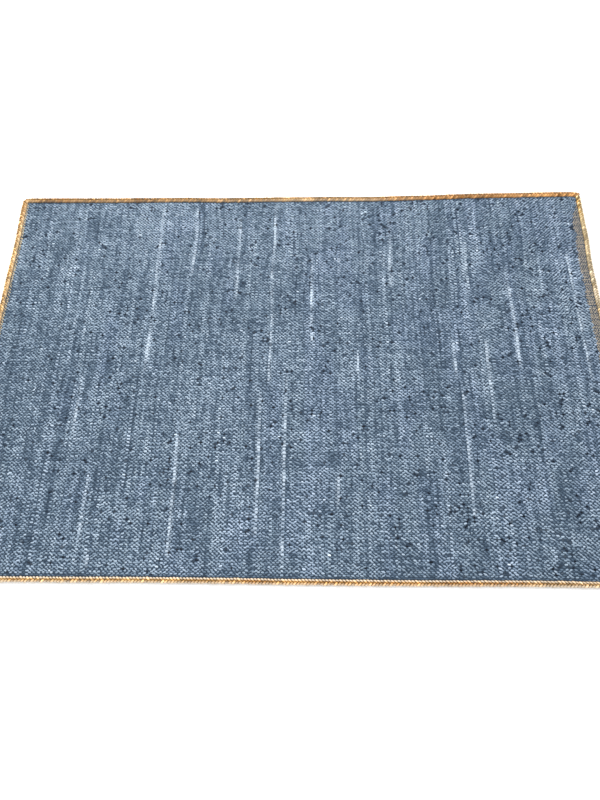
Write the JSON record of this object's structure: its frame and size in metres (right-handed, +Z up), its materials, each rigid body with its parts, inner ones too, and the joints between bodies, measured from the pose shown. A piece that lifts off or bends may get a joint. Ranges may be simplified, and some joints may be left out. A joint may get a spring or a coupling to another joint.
{
  "type": "leather rug",
  "caption": "Flat rectangular floor rug, handwoven from narrow leather strips and bound round the edge with jute plaits.",
  "frame": {"origin": "on the floor under the middle of the rug", "axes": "+X along the long sides, +Y along the short sides, +Z up from the floor"},
  "size_m": [1.8, 1.2, 0.011],
  "materials": {
    "woven_leather": "soft, slightly glossy, dyed slate blue",
    "jute_plait": "dull, fibrous, natural golden brown"
  },
  "bodies": {
    "root": {"woven_field": "woven_leather", "plait_left_far": "jute_plait", "plait_right_near": "jute_plait"}
  },
  "joints": []
}
